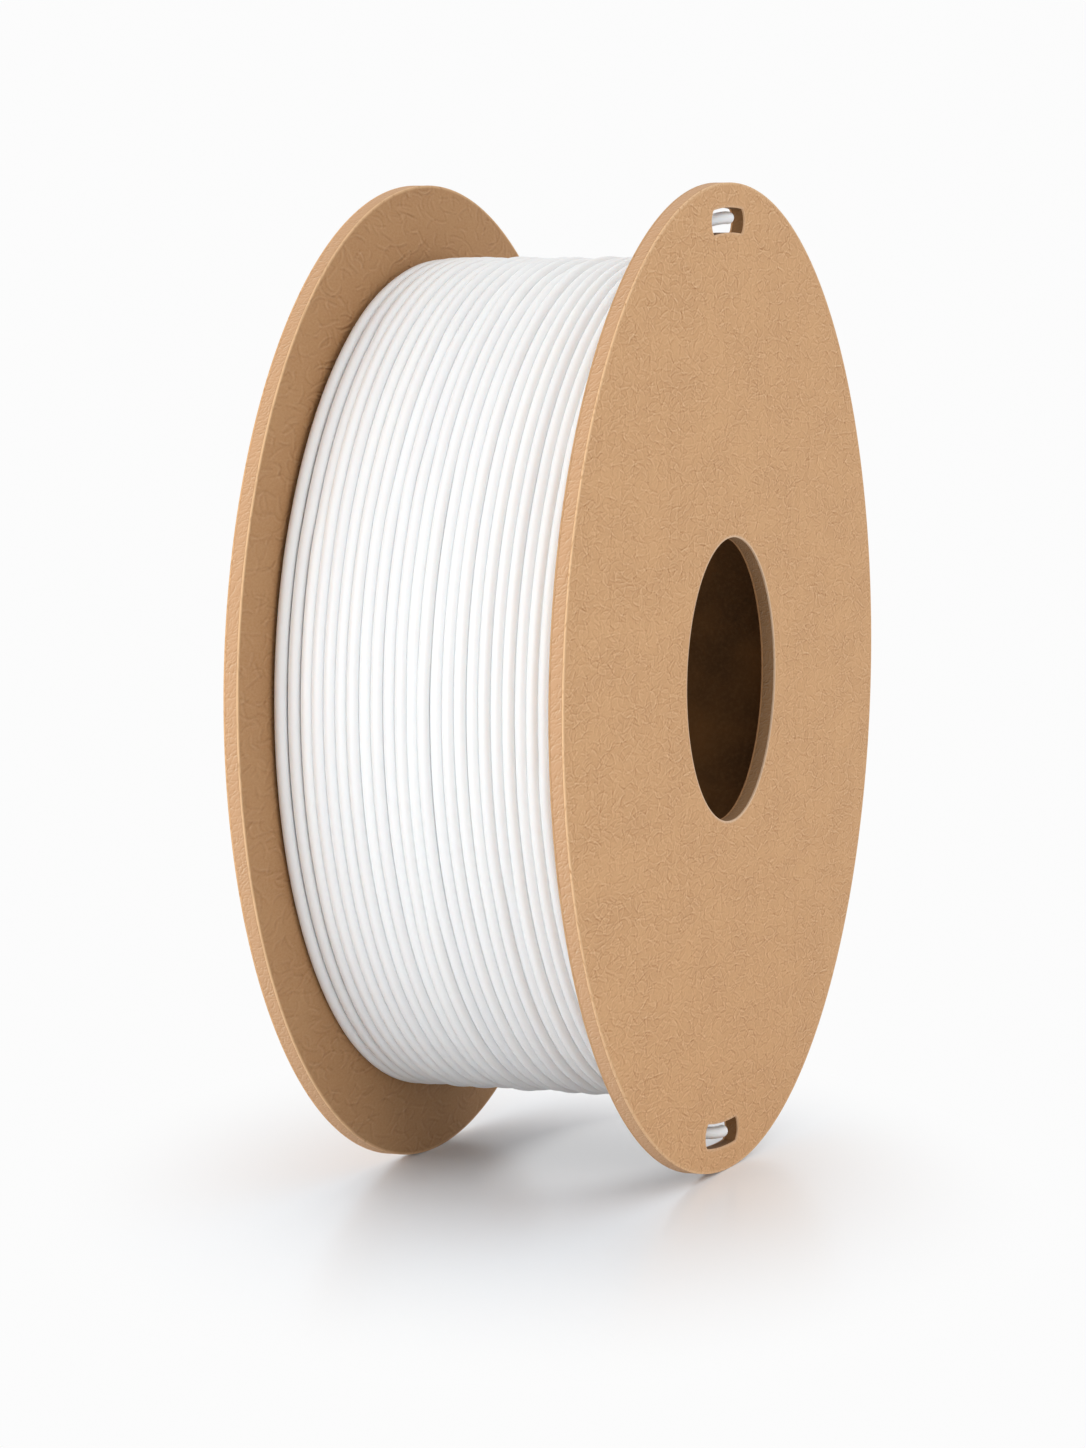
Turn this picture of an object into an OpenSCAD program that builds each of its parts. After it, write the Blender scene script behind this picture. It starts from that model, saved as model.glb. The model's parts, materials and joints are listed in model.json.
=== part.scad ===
// Filament spool: two faced board flanges glued to a wound paper tube, with the filament
// wound between them. The axis runs along Y, the slotted flange is at +Y and +Z is up.
// The origin is on the axis, midway between the flanges' outer faces.
// Angles are in degrees round the axis, from +X towards +Z.

/* [Flanges] */
// Outside diameter of both flanges
flange_d = 200; // [192:1:230]
// Thickness of the board inside each flange
board_t = 2.2; // [2:0.1:3]
// Thickness of the paper facing on each side of a flange
facing_t = 0.4; // [0.2:0.05:0.6]
// Diameter of the bore through each flange
bore_d = 57.5; // [40:0.5:68]
// Clear width between the flanges
clear_w = 62; // [50:1:75]

/* [Slots] */
// Board left between a slot and the rim
slot_rim_gap = 5; // [4:0.5:7]
// Width of a slot, measured towards the rim
slot_w = 5; // [4:0.1:6]
// Length of a slot over its bowed ends
slot_l = 21.3; // [18:0.1:26]
// How far each end of a slot bows out
slot_bow = 1.4; // [0.8:0.1:2]
// Turn of the upper slot from straight up, towards +X
upper_slot_turn = 2.1; // [0:0.1:10]
// Turn of the lower slot from straight down, towards +X
lower_slot_turn = 3.5; // [0:0.1:10]

/* [Core tube] */
// Outside diameter of the finished tube
tube_d = 86; // [80:1:110]
// Thickness of the tube's body, between its two plies
tube_body_t = 2.2; // [1.5:0.1:4]
// Thickness of the ply on each side of the tube
ply_t = 0.4; // [0.2:0.05:0.6]
// Leg of the glue bead in the corner between tube and flange
bead_leg = 2.5; // [1.5:0.1:3.5]

/* [Filament] */
// Diameter of one strand
strand_d = 2.3; // [1.75:0.05:2.3]
// Least gap between two turns of the outer layer
turn_gap = 0.41; // [0.41:0.01:0.8]
// Outside diameter over the outer layer
wound_d = 170.4; // [130:0.1:172]
// Clearance beside a strand, and between the winding and a flange
rest_gap = 0.35; // [0.2:0.05:0.6]
// Radius at which the outer layer rises out of the layers below
rise_bend_r = 4.6; // [3.5:0.1:8]
// Radius at which the start of the filament turns into its slot
start_bend_r = 12.5; // [8:0.1:16]

/* [Hidden] */
$fn = 180;

kraft_face = [0.79, 0.64, 0.48];
kraft_core = [0.70, 0.54, 0.38];
glue_amber = [0.80, 0.74, 0.58];
filament_white = [0.94, 0.94, 0.93];

deg_per_rad = 180 / PI;
cut = 1; // how far a cutting shape runs past what it cuts
touch_gap = 0.04; // between a strand and what it lies on
bend_step = 15; // degrees between the rings of a bend

flange_r = flange_d / 2;
flange_t = board_t + 2 * facing_t;
bore_r = bore_d / 2;
half_clear = clear_w / 2;

slot_mid_r = flange_r - slot_rim_gap - slot_w / 2;
slot_end_r = (pow(slot_w / 2, 2) + pow(slot_bow, 2)) / (2 * slot_bow);
slot_half_turn = slot_l / 2 / slot_mid_r * deg_per_rad;
slot_end_turn = slot_half_turn - slot_end_r / slot_mid_r * deg_per_rad;
upper_slot_a = 90 - upper_slot_turn;
lower_slot_a = -90 + lower_slot_turn;

tube_r = tube_d / 2;
tube_in_r = tube_r - tube_body_t - 2 * ply_t;

strand_r = strand_d / 2;
rings_per_turn = 24;
strand_sides = 6;
ring_step = 360 / rings_per_turn;
layer_r = wound_d / 2 - strand_r;
pack_r = layer_r * cos(ring_step / 2) - strand_r - touch_gap;
pack_half_w = half_clear - rest_gap;

// Where the strands lie along the axis: the first and last turn of the outer layer,
// a strand beside the slotted flange, and a strand in the thickness of its slot
first_turn_y = -half_clear + rest_gap + strand_r;
beside_flange_y = half_clear - rest_gap - strand_r;
last_turn_y = beside_flange_y - strand_d;
in_slot_y = half_clear + flange_t / 2;

// Turns of the outer layer: as many as fit, and always half a turn over,
// so that it rises out of the pack opposite the place where it leaves
strand_flats = 2 * strand_r * sin(60);
turns_w = last_turn_y - first_turn_y;
turns = floor(turns_w / (strand_flats + turn_gap) - 0.5) + 0.5;
turn_pitch = turns_w / turns;

// The free end climbs from the last turn to its slot, then weaves into the thickness
leave_a = 55;
climb_turn = 25;
weave_turn = 7;
strand_step = strand_d / slot_mid_r * deg_per_rad;
gap_step = rest_gap / slot_mid_r * deg_per_rad;
free_tip_a = upper_slot_a + slot_half_turn - gap_step - strand_step;
free_steps = 16;
rise_a = leave_a - 360 * turns;
rise_floor_r = layer_r - rise_bend_r - strand_d;

// The start of the filament runs out along the slotted flange from the tube
start_tip_a = lower_slot_a - slot_half_turn + gap_step + strand_step;
start_bend_turn = start_bend_r / slot_mid_r * deg_per_rad;
start_a = start_tip_a + 2 * weave_turn + start_bend_turn;
start_steps = 12;
groove_w = strand_d + 2 * rest_gap;

// Plane helpers: shapes are drawn in X and Z, then given a thickness along Y
module along_axis(from_y, width) {
    translate([0, from_y + width, 0]) rotate([90, 0, 0]) linear_extrude(width) children();
}

module annulus(outer_r, inner_r) {
    difference() {
        circle(outer_r);
        circle(inner_r);
    }
}

// Slot concentric with the rim, with ends that bow out between sharp corners
module slot_shape(middle_a) {
    intersection() {
        annulus(slot_mid_r + slot_w / 2, slot_mid_r - slot_w / 2);
        rotate(middle_a) {
            translate([slot_mid_r, 0])
                square([2 * slot_w, 2 * slot_mid_r * sin(slot_end_turn)], center = true);
            for (side = [-1, 1])
                rotate(side * slot_end_turn) translate([slot_mid_r, 0]) circle(slot_end_r);
        }
    }
}

module plain_layer(from_y, thickness) {
    along_axis(from_y, thickness) annulus(flange_r, bore_r);
}

module slotted_layer(from_y, thickness) {
    along_axis(from_y, thickness) difference() {
        annulus(flange_r, bore_r);
        slot_shape(upper_slot_a);
        slot_shape(lower_slot_a);
    }
}

module tube_layer(outer_r, thickness) {
    along_axis(-half_clear, clear_w) annulus(outer_r, outer_r - thickness);
}

// Bead of glue in the corner where the tube meets a flange
module glue_bead() {
    rotate([90, 0, 0]) translate([0, 0, -half_clear]) rotate_extrude()
        polygon([[tube_in_r - bead_leg, 0], [tube_in_r, 0], [tube_in_r, bead_leg]]);
}

// Strand paths: a point at an angle, with its reach from the axis and an offset round it
function at_angle(a, reach, offset, y) =
    [reach * cos(a) - offset * sin(a), y, reach * sin(a) + offset * cos(a)];
function ease(u) = let (c = min(max(u, 0), 1)) c * c * (3 - 2 * c);
function unit(v) = v / norm(v);

function rise_path() = [
    at_angle(rise_a, rise_floor_r, 0, first_turn_y),
    for (b = [0:bend_step:90])
        at_angle(rise_a, layer_r - rise_bend_r * (1 - sin(b)), rise_bend_r * (1 - cos(b)), first_turn_y)
];

function turns_path() = [
    for (i = [1:rings_per_turn * turns])
        at_angle(rise_a + i * ring_step, layer_r, 0, first_turn_y + turn_pitch * i / rings_per_turn)
];

function free_end_point(a) =
    let (climb = ease((a - leave_a) / climb_turn))
    let (weave = ease((a - free_tip_a + weave_turn) / weave_turn))
    at_angle(a, layer_r + (slot_mid_r - layer_r) * climb, 0,
        last_turn_y + strand_d * climb + (in_slot_y - beside_flange_y) * weave);

function free_end_path() = [
    for (i = [1:free_steps]) free_end_point(leave_a + (free_tip_a - leave_a) * i / free_steps),
    at_angle(free_tip_a, slot_mid_r, strand_d, in_slot_y)
];

function start_end_path() = [
    at_angle(start_a, tube_r + touch_gap, 0, beside_flange_y),
    for (b = [0:bend_step:90])
        at_angle(start_a - start_bend_turn * (1 - cos(b)),
            slot_mid_r - start_bend_r * (1 - sin(b)), 0, beside_flange_y),
    for (i = [1:start_steps])
        let (a = start_tip_a + 2 * weave_turn * (1 - i / start_steps))
        let (weave = ease((start_tip_a + weave_turn - a) / weave_turn))
        at_angle(a, slot_mid_r, 0, beside_flange_y + (in_slot_y - beside_flange_y) * weave),
    at_angle(start_tip_a, slot_mid_r, -strand_d, in_slot_y)
];

// Outline in X and Z of a groove that follows a path at the same width all along
function groove_outline(path) =
    let (route = [for (p = path) [p.x, p.z]], last = len(path) - 1)
    let (sides = [
        for (i = [0:last])
            let (along = unit(route[min(i + 1, last)] - route[max(i - 1, 0)]))
            groove_w / 2 * [-along.y, along.x]
    ])
    concat(
        [for (i = [0:last]) route[i] + sides[i]],
        [for (i = [last:-1:0]) route[i] - sides[i]]);

// Ring of points round a path point, square to the path there
function strand_ring(path, i) =
    let (along = unit(path[min(i + 1, len(path) - 1)] - path[max(i - 1, 0)]))
    let (inward = unit(cross(along, [0, 1, 0])), sideways = cross(along, inward))
    [for (k = [0:strand_sides - 1])
        path[i] + strand_r * (cos(k * 360 / strand_sides) * inward + sin(k * 360 / strand_sides) * sideways)];

module strand(path) {
    rings = [for (i = [0:len(path) - 1]) strand_ring(path, i)];
    last = (len(path) - 1) * strand_sides;
    walls = [
        for (i = [0:len(path) - 2], k = [0:strand_sides - 1])
            let (a = i * strand_sides + k, b = i * strand_sides + (k + 1) % strand_sides)
            each [[a, a + strand_sides, b], [b, a + strand_sides, b + strand_sides]]
    ];
    first_cap = [for (k = [1:strand_sides - 2]) [0, k, k + 1]];
    last_cap = [for (k = [1:strand_sides - 2]) [last, last + k + 1, last + k]];
    polyhedron([for (ring = rings) each ring], concat(first_cap, walls, last_cap));
}

// Least distance between the points of rings that lie half to one and a half turns apart
function least_gap(rings) =
    let (half_turn = rings_per_turn / 2, last = len(rings) - 1)
    min([
        for (i = [0:last - half_turn], j = [i + half_turn:min(i + 3 * half_turn, last)])
            for (p = rings[i], q = rings[j]) norm(p - q)
    ]);

outer_path = concat(rise_path(), turns_path(), free_end_path());

module slotted_flange_board() {
    color(kraft_core) slotted_layer(half_clear + facing_t, board_t);
}

module slotted_flange_outer_facing() {
    color(kraft_face) slotted_layer(half_clear + facing_t + board_t, facing_t);
}

module slotted_flange_inner_facing() {
    color(kraft_face) slotted_layer(half_clear, facing_t);
}

module plain_flange_board() {
    color(kraft_core) plain_layer(-half_clear - facing_t - board_t, board_t);
}

module plain_flange_outer_facing() {
    color(kraft_face) plain_layer(-half_clear - flange_t, facing_t);
}

module plain_flange_inner_facing() {
    color(kraft_face) plain_layer(-half_clear - facing_t, facing_t);
}

module core_tube_body() {
    color(kraft_core) tube_layer(tube_r - ply_t, tube_body_t);
}

module core_tube_outer_ply() {
    color(kraft_face) tube_layer(tube_r, ply_t);
}

module core_tube_inner_ply() {
    color(kraft_face) tube_layer(tube_in_r + ply_t, ply_t);
}

module slotted_flange_glue_bead() {
    color(glue_amber) glue_bead();
}

module plain_flange_glue_bead() {
    color(glue_amber) mirror([0, 1, 0]) glue_bead();
}

// Groove beside the slotted flange, for a strand that starts at from_y
module strand_groove(path, from_y) {
    along_axis(from_y - groove_w / 2, half_clear - from_y + groove_w / 2)
        polygon(groove_outline(path));
}

// All the layers under the outer one, with a groove for the start of the filament
// and a pocket where the outer layer rises. The free end's groove takes nothing away
// unless the winding reaches up to the slots.
module filament_inner_layers() {
    color(filament_white) difference() {
        along_axis(-pack_half_w, 2 * pack_half_w) annulus(pack_r, tube_r);
        strand_groove(concat([at_angle(start_a, tube_r - cut, 0, 0)], start_end_path()), beside_flange_y);
        strand_groove(free_end_path(), last_turn_y);
        rotate([0, -rise_a, 0])
            translate([rise_floor_r - rest_gap, -half_clear, -groove_w / 2])
                cube([pack_r - rise_floor_r + cut, first_turn_y + half_clear + groove_w / 2,
                    rise_bend_r + groove_w]);
    }
}

// The whole outer layer and the free end, as one unbroken strand
module filament_outer_layer() {
    color(filament_white) strand(outer_path);
}

module filament_start_end() {
    color(filament_white) strand(start_end_path());
}

echo(turns = turns, turn_pitch = turn_pitch);
echo(least_gap_mm = least_gap([for (i = [0:len(outer_path) - 1]) strand_ring(outer_path, i)]));

slotted_flange_board();
slotted_flange_outer_facing();
slotted_flange_inner_facing();
plain_flange_board();
plain_flange_outer_facing();
plain_flange_inner_facing();
core_tube_body();
core_tube_outer_ply();
core_tube_inner_ply();
slotted_flange_glue_bead();
plain_flange_glue_bead();
filament_inner_layers();
filament_outer_layer();
filament_start_end();
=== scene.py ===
import json

import bpy
import numpy as np
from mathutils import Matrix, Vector
from mathutils.geometry import tessellate_polygon


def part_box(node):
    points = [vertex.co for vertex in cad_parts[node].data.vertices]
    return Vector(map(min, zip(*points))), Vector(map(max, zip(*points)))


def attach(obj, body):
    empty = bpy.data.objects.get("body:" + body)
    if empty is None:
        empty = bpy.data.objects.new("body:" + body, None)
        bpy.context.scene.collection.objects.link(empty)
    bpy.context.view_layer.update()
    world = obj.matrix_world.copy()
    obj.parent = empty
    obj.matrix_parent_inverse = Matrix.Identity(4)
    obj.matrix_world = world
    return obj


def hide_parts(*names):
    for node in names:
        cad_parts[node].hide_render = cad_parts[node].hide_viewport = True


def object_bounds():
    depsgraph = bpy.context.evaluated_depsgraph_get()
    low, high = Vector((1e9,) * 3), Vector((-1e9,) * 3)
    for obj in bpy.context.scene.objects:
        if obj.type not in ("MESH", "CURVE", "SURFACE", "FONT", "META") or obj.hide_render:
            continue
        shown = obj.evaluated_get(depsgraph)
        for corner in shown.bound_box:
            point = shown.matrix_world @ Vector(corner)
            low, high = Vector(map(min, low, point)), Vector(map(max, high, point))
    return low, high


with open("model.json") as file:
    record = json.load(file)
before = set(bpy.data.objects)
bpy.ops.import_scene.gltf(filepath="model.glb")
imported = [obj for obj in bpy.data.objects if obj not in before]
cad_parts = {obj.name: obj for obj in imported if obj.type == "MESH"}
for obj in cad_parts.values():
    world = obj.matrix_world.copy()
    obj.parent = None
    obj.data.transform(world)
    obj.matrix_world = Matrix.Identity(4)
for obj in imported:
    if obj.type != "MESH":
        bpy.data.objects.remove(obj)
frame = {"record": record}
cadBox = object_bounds()

mm = 0.001
spoolAxis = np.array([0, 1, 0])

# The sizes that every piece shares, taken from the frame. Angles run round the axis from +X towards +Z.
rimRadius = -cadBox[0].x
restHeight = cadBox[0].z
outerFace = cadBox[1].y
mounts = {mount["name"]: mount for mount in frame["record"]["mounts"]}
boreRadius = mounts["bore"]["dims"]["r_mm"] * mm
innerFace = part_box("slotted_flange_inner_facing")[0].y
boardLow, boardHigh = (corner.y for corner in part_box("slotted_flange_board"))
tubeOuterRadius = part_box("core_tube_outer_ply")[1].z
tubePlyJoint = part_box("core_tube_body")[1].z
plyThickness = tubeOuterRadius - tubePlyJoint
tubeBodyThickness = 2.2 * mm    # the one size that no box gives


def linearColour(hexColour):
    # each sRGB channel over 255, then the sRGB curve undone
    channels = np.array([int(hexColour[i:i + 2], 16) for i in (1, 3, 5)]) / 255
    linear = np.where(channels <= 0.04045, channels / 12.92, ((channels + 0.055) / 1.055) ** 2.4)
    return (*linear.tolist(), 1.0)


def addNode(tree, kind, sockets=None, **menus):
    # a socket takes a plain value, or (other node, output) to be linked to it
    node = tree.nodes.new(kind)
    for name, value in menus.items():
        setattr(node, name, value)
    for name, value in (sockets or {}).items():
        if isinstance(value, tuple) and isinstance(value[0], bpy.types.Node):
            tree.links.new(value[0].outputs[value[1]], node.inputs[name])
        else:
            node.inputs[name].default_value = value
    return node


def newMaterial(name):
    material = bpy.data.materials.new(name)
    material.use_nodes = True
    material.node_tree.nodes.clear()
    return material, material.node_tree


def perFeature(size):
    # a texture scale on coordinates in metres, for features of a real size in millimetres
    return 1 / (size * mm)


def smoothStep(x):
    # eases from 0 to 1 as x does, by three x squared less two x cubed
    x = np.clip(x, 0, 1)
    return x * x * (3 - 2 * x)


def wanderingValue(position, seed):
    # random values at whole positions, from -1 to 1, with an eased curve between them
    whole = np.floor(position).astype(int)
    values = np.random.default_rng(seed).uniform(-1, 1, whole.max() - whole.min() + 2)
    start = whole - whole.min()
    return values[start] + (values[start + 1] - values[start]) * smoothStep(position - whole)


def onSpool(angle, radius, along):
    # points at an angle in degrees, a radius from the axis and a place along it
    turn = np.radians(angle)
    return np.stack(np.broadcast_arrays(radius * np.cos(turn), along, radius * np.sin(turn)), -1)


def gridFaces(rows, columns, closedRows=False):
    # quads between neighbours on a grid numbered row by row; each row is a ring, and the rows can close too
    row = np.arange(rows if closedRows else rows - 1)[:, None]
    column = np.arange(columns)[None, :]
    nextRow, nextColumn = (row + 1) % rows, (column + 1) % columns
    corners = (row * columns + column, row * columns + nextColumn,
               nextRow * columns + nextColumn, nextRow * columns + column)
    return np.stack(np.broadcast_arrays(*corners), -1).reshape(-1, 4)


def makePiece(name, points, faces, material, replaced, flatFaces=(), pointValues=None, places=()):
    # points are in metres where they lie, flatFaces aren't shaded smooth, and places are each face corner's
    # own on its map
    mesh = bpy.data.meshes.new(name)
    allFaces = [face for group in (*faces, *flatFaces) for face in group.tolist()]
    mesh.from_pydata(points.reshape(-1, 3).tolist(), [], allFaces)
    smooth = np.ones(len(allFaces), bool)
    smooth[sum(len(group) for group in faces):] = False
    mesh.polygons.foreach_set("use_smooth", smooth)
    for valueName, values in (pointValues or {}).items():
        layer = mesh.attributes.new(valueName, "FLOAT", "POINT")
        layer.data.foreach_set("value", np.ascontiguousarray(values, np.float32).ravel())
    if len(places):
        layer = mesh.uv_layers.new(name="sheet")
        layer.data.foreach_set("uv", np.concatenate([group.ravel() for group in places]).astype(np.float32))
    mesh.materials.append(material)
    mesh.validate()
    piece = bpy.data.objects.new(name, mesh)
    bpy.context.scene.collection.objects.link(piece)
    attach(piece, "root")
    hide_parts(*replaced)
    return piece


cameraView = {
    "azimuth": 110.24,           # degrees round from -Y towards +X
    "elevation": 4.87,
    "distance": 0.9788,
    "aimSideways": -0.00643,     # how far it aims to the right of the origin, and above it
    "aimUp": -0.01006,
    "lens": 118.74,
    "sensorWidth": 36,
    "clipRange": (0.05, 50),
}


def addCamera():
    # it stands back from its aim along a line that the azimuth turns and the elevation raises
    azimuth, elevation = np.radians((cameraView["azimuth"], cameraView["elevation"]))
    level = np.cos(elevation)
    back = np.array([np.sin(azimuth) * level, -np.cos(azimuth) * level, np.sin(elevation)])
    right = np.array([np.cos(azimuth), np.sin(azimuth), 0])
    aim = cameraView["aimSideways"] * right + cameraView["aimUp"] * np.cross(back, right)
    data = bpy.data.cameras.new("productCamera")
    data.lens = cameraView["lens"]
    data.sensor_fit = "AUTO"
    data.sensor_width = cameraView["sensorWidth"]
    data.clip_start, data.clip_end = cameraView["clipRange"]
    camera = bpy.data.objects.new("productCamera", data)
    camera.location = aim + cameraView["distance"] * back
    camera.rotation_euler = Vector(-back).to_track_quat("-Z", "Y").to_euler()
    bpy.context.scene.collection.objects.link(camera)
    bpy.context.scene.camera = camera


studio = {
    "skyStrength": 0.93,         # the light all round
    "skyColour": "#FFFFFF",
    "backdropStrength": 0.972,   # the white that the camera and reflections see
    "keyPower": 4.9,
    "keySize": 0.6,
    "keyPlace": (1.32, -0.34, 0.2),
    "keyColour": "#FFFCF8",
}


def addLight():
    world = bpy.data.worlds.new("studio")
    bpy.context.scene.world = world
    world.use_nodes = True
    tree = world.node_tree
    tree.nodes.clear()
    # the camera and reflections see plain white, and everything else is lit by a softer sky
    rays = addNode(tree, "ShaderNodeLightPath")
    seen = (rays, "Is Camera Ray")
    for ray in ("Is Glossy Ray", "Is Transmission Ray"):
        seen = (addNode(tree, "ShaderNodeMath", {0: seen, 1: (rays, ray)}, operation="MAXIMUM"), 0)
    sky = addNode(tree, "ShaderNodeBackground", {
        "Color": linearColour(studio["skyColour"]), "Strength": studio["skyStrength"],
    })
    white = addNode(tree, "ShaderNodeBackground", {
        "Color": (1, 1, 1, 1), "Strength": studio["backdropStrength"],
    })
    mixed = addNode(tree, "ShaderNodeMixShader", {0: seen, 1: (sky, 0), 2: (white, 0)})
    addNode(tree, "ShaderNodeOutputWorld", {"Surface": (mixed, 0)})

    data = bpy.data.lights.new("softKey", "AREA")
    data.energy = studio["keyPower"]
    data.size = studio["keySize"]
    data.color = linearColour(studio["keyColour"])[:3]
    key = bpy.data.objects.new("softKey", data)
    key.location = studio["keyPlace"]
    key.rotation_euler = Vector(studio["keyPlace"]).to_track_quat("Z", "Y").to_euler()
    bpy.context.scene.collection.objects.link(key)


acrylicFloor = {
    "colour": "#F5F8FC",
    "glossShare": 0.18,
    "roughness": 0.2,
    "halfSize": 12,
    # Ovals with a middle, half lengths and a turn. Plain white covers the sheet by the first share up to
    # "fade" of the reach and by the second beyond the reach, whichever oval gives more. The first keeps the
    # shading near the spool, and the second paints light over the shadow under the winding.
    "ovals": (
        {"middle": (0.03, 0.004), "reach": (0.1, 0.182), "turn": 110, "fade": 0.22, "white": (0.0, 1.0)},
        {"middle": (-0.02, 0.006), "reach": (0.075, 0.026), "turn": 0, "fade": 0.5, "white": (0.32, 0.0)},
    ),
}


def glossyFloorMaterial():
    # white acrylic sheet: a matt white body under a thin polish that mirrors a little, and a white distance
    material, tree = newMaterial("whiteAcrylicFloor")
    colour = linearColour(acrylicFloor["colour"])
    body = addNode(tree, "ShaderNodeBsdfDiffuse", {"Color": colour})
    polish = addNode(tree, "ShaderNodeBsdfGlossy", {"Color": colour, "Roughness": acrylicFloor["roughness"]})
    sheet = addNode(tree, "ShaderNodeMixShader", {
        0: acrylicFloor["glossShare"], 1: (body, 0), 2: (polish, 0),
    })
    place = addNode(tree, "ShaderNodeTexCoord")
    covers = []
    for oval in acrylicFloor["ovals"]:
        spot = addNode(tree, "ShaderNodeMapping", {
            "Vector": (place, "Object"), "Location": (*oval["middle"], restHeight),
            "Rotation": (0, 0, np.radians(oval["turn"])), "Scale": (*oval["reach"], 1),
        }, vector_type="TEXTURE")
        away = addNode(tree, "ShaderNodeVectorMath", {0: (spot, 0)}, operation="LENGTH")
        within, beyond = oval["white"]
        covers.append(addNode(tree, "ShaderNodeMapRange", {
            "Value": (away, "Value"), "From Min": oval["fade"], "From Max": 1.0,
            "To Min": within, "To Max": beyond,
        }, interpolation_type="SMOOTHSTEP"))
    cover = addNode(tree, "ShaderNodeMath", {0: (covers[0], 0), 1: (covers[1], 0)}, operation="MAXIMUM")
    rays = addNode(tree, "ShaderNodeLightPath")
    # the camera sees the plain white, which is painted light where the second oval covers the shadow under
    # the winding
    seen = addNode(tree, "ShaderNodeMath", {0: (cover, 0), 1: (rays, "Is Camera Ray")}, operation="MULTIPLY")
    white = addNode(tree, "ShaderNodeEmission", {
        "Color": (1, 1, 1, 1), "Strength": studio["backdropStrength"],
    })
    shader = addNode(tree, "ShaderNodeMixShader", {0: (seen, 0), 1: (sheet, 0), 2: (white, 0)})
    addNode(tree, "ShaderNodeOutputMaterial", {"Surface": (shader, 0)})
    return material


def addFloor():
    half = acrylicFloor["halfSize"]
    corners = ((-half, -half), (half, -half), (half, half), (-half, half))
    mesh = bpy.data.meshes.new("floor")
    mesh.from_pydata([(*corner, restHeight) for corner in corners], [], [(0, 1, 2, 3)])
    mesh.materials.append(glossyFloorMaterial())
    floor = bpy.data.objects.new("floor", mesh)
    bpy.context.scene.collection.objects.link(floor)


def mottledColour(tree, look, clouds, grit=None):
    # two tones, by where the clouds' noise lies in its share, and specks of a third by where the grit's does
    least, most = look["cloudShare"]
    share = addNode(tree, "ShaderNodeMapRange", {
        "Value": (clouds, "Fac"), "From Min": least, "From Max": most,
    })
    colour = addNode(tree, "ShaderNodeMix", {
        0: (share, 0), 6: linearColour(look["deep"]), 7: linearColour(look["pale"]),
    }, data_type="RGBA")
    if grit:
        least, most = look["speckShare"]
        specks = addNode(tree, "ShaderNodeMapRange", {
            "Value": (grit, "Fac"), "From Min": least, "From Max": most, "To Max": look["speckTint"],
        })
        colour = addNode(tree, "ShaderNodeMix", {
            0: (specks, 0), 6: (colour, 2), 7: linearColour(look["speck"]),
        }, data_type="RGBA")
    return colour


# The outer facing, finely curled. Sizes of its pattern are in millimetres, and shares are ranges of noise.
kraftFace = {
    "deep": "#C99A6B",
    "pale": "#D2A475",
    "cloudSize": 9,              # clouds of these two tones
    "cloudShare": (0.32, 0.68),
    "speck": "#E2B284",
    "speckShare": (0.3, 0.7),
    "speckTint": 0.5,
    "toothSize": 0.45,           # the specks, and the fine tooth that they colour
    "toothHeight": 0.7,          # against a fibre's height
    # a fibre's ridge is a painted highlight and its furrow painted shade, over a shallow bump
    "fibreHighlight": "#F4CC9E",
    "furrowShade": "#AC743E",
    "fibreTint": 0.23,
    "fibreHeight": 0.022,
    "fibreLayers": 8,
    "layerShift": (0.371, 0.113),    # metres on the map from one layer of fibres to the next
    "fibreCell": 2.9,            # a cell of this size holds one fibre of a layer
    "fibreScatter": 0.85,
    "fibreTurn": (0, 6.283),     # radians
    "fibreBend": 0.45,
    "fibreHalf": (0.7, 1.8),     # shortest and longest half length
    "fibreWidth": 0.21,
    "fibreTaper": 0.7,           # it fades out beyond this share of its half length
    "furrowBeside": 1.5,         # where its furrow lies, in widths from the ridge
    "patchShare": (0.4, 0.6),
    "patchStrength": (1.05, 0.75),
    # a facing's rim edge is paler than its face, and paler still on the board's +Y side by a painted
    # highlight
    "rimEdge": "#E6BE92",
    # a painted highlight along the holes' edges, faint in the slots
    "holeShadingAndGlueLine": "#ECD2B6",
    "edgeTint": 0.9,
    "grainScale": (0.42, 1.0, 1.0),    # the paper's grain runs along X, and the pattern is drawn out with it
    "roughness": 0.78,
    "roughnessDrift": 0.06,
    "roughnessShare": (0.3, 0.7),
    "ior": 1.47,
    "specular": 0.3,
    "crease": (6.7 * mm, 94.6 * mm, 99.6 * mm, 0.9 * mm),    # its place across, its ends and its half width
}
# the facing that shows inside the spool is pressed less sharply, with longer curls, and painted darker as
# shade
kraftInnerFaceShaded = dict(
    kraftFace, deep="#B38558", pale="#B88C60", cloudSize=14, speck="#C39C73", toothHeight=0.35,
    fibreHighlight="#D2A982", furrowShade="#976A40", fibreTint=0.2, fibreHeight=0.05, fibreLayers=4, fibreCell=4.4,
    fibreBend=0.3, fibreHalf=(1.0, 2.3), fibreWidth=0.34, holeShadingAndGlueLine="#A5744A", crease=None,
)
# the board's cut edge: the same pulp, its fibres drawn slantwise by the blade, and painted shade in the holes
boardEdge = dict(
    kraftFace, deep="#C09367", pale="#CAA078", speck="#D5B089", fibreHighlight="#E2C29E", furrowShade="#B3865B",
    fibreTint=0.3, fibreHeight=0.02, fibreLayers=6, fibreCell=2.1, fibreTurn=(0.2, 1.5),
    fibreHalf=(0.7, 1.7), fibreWidth=0.19, rimEdge="#CBA07A", holeShadingAndGlueLine="#6A4722", grainScale=(1.0, 1.0, 1.0),
    crease=None,
)


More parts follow.
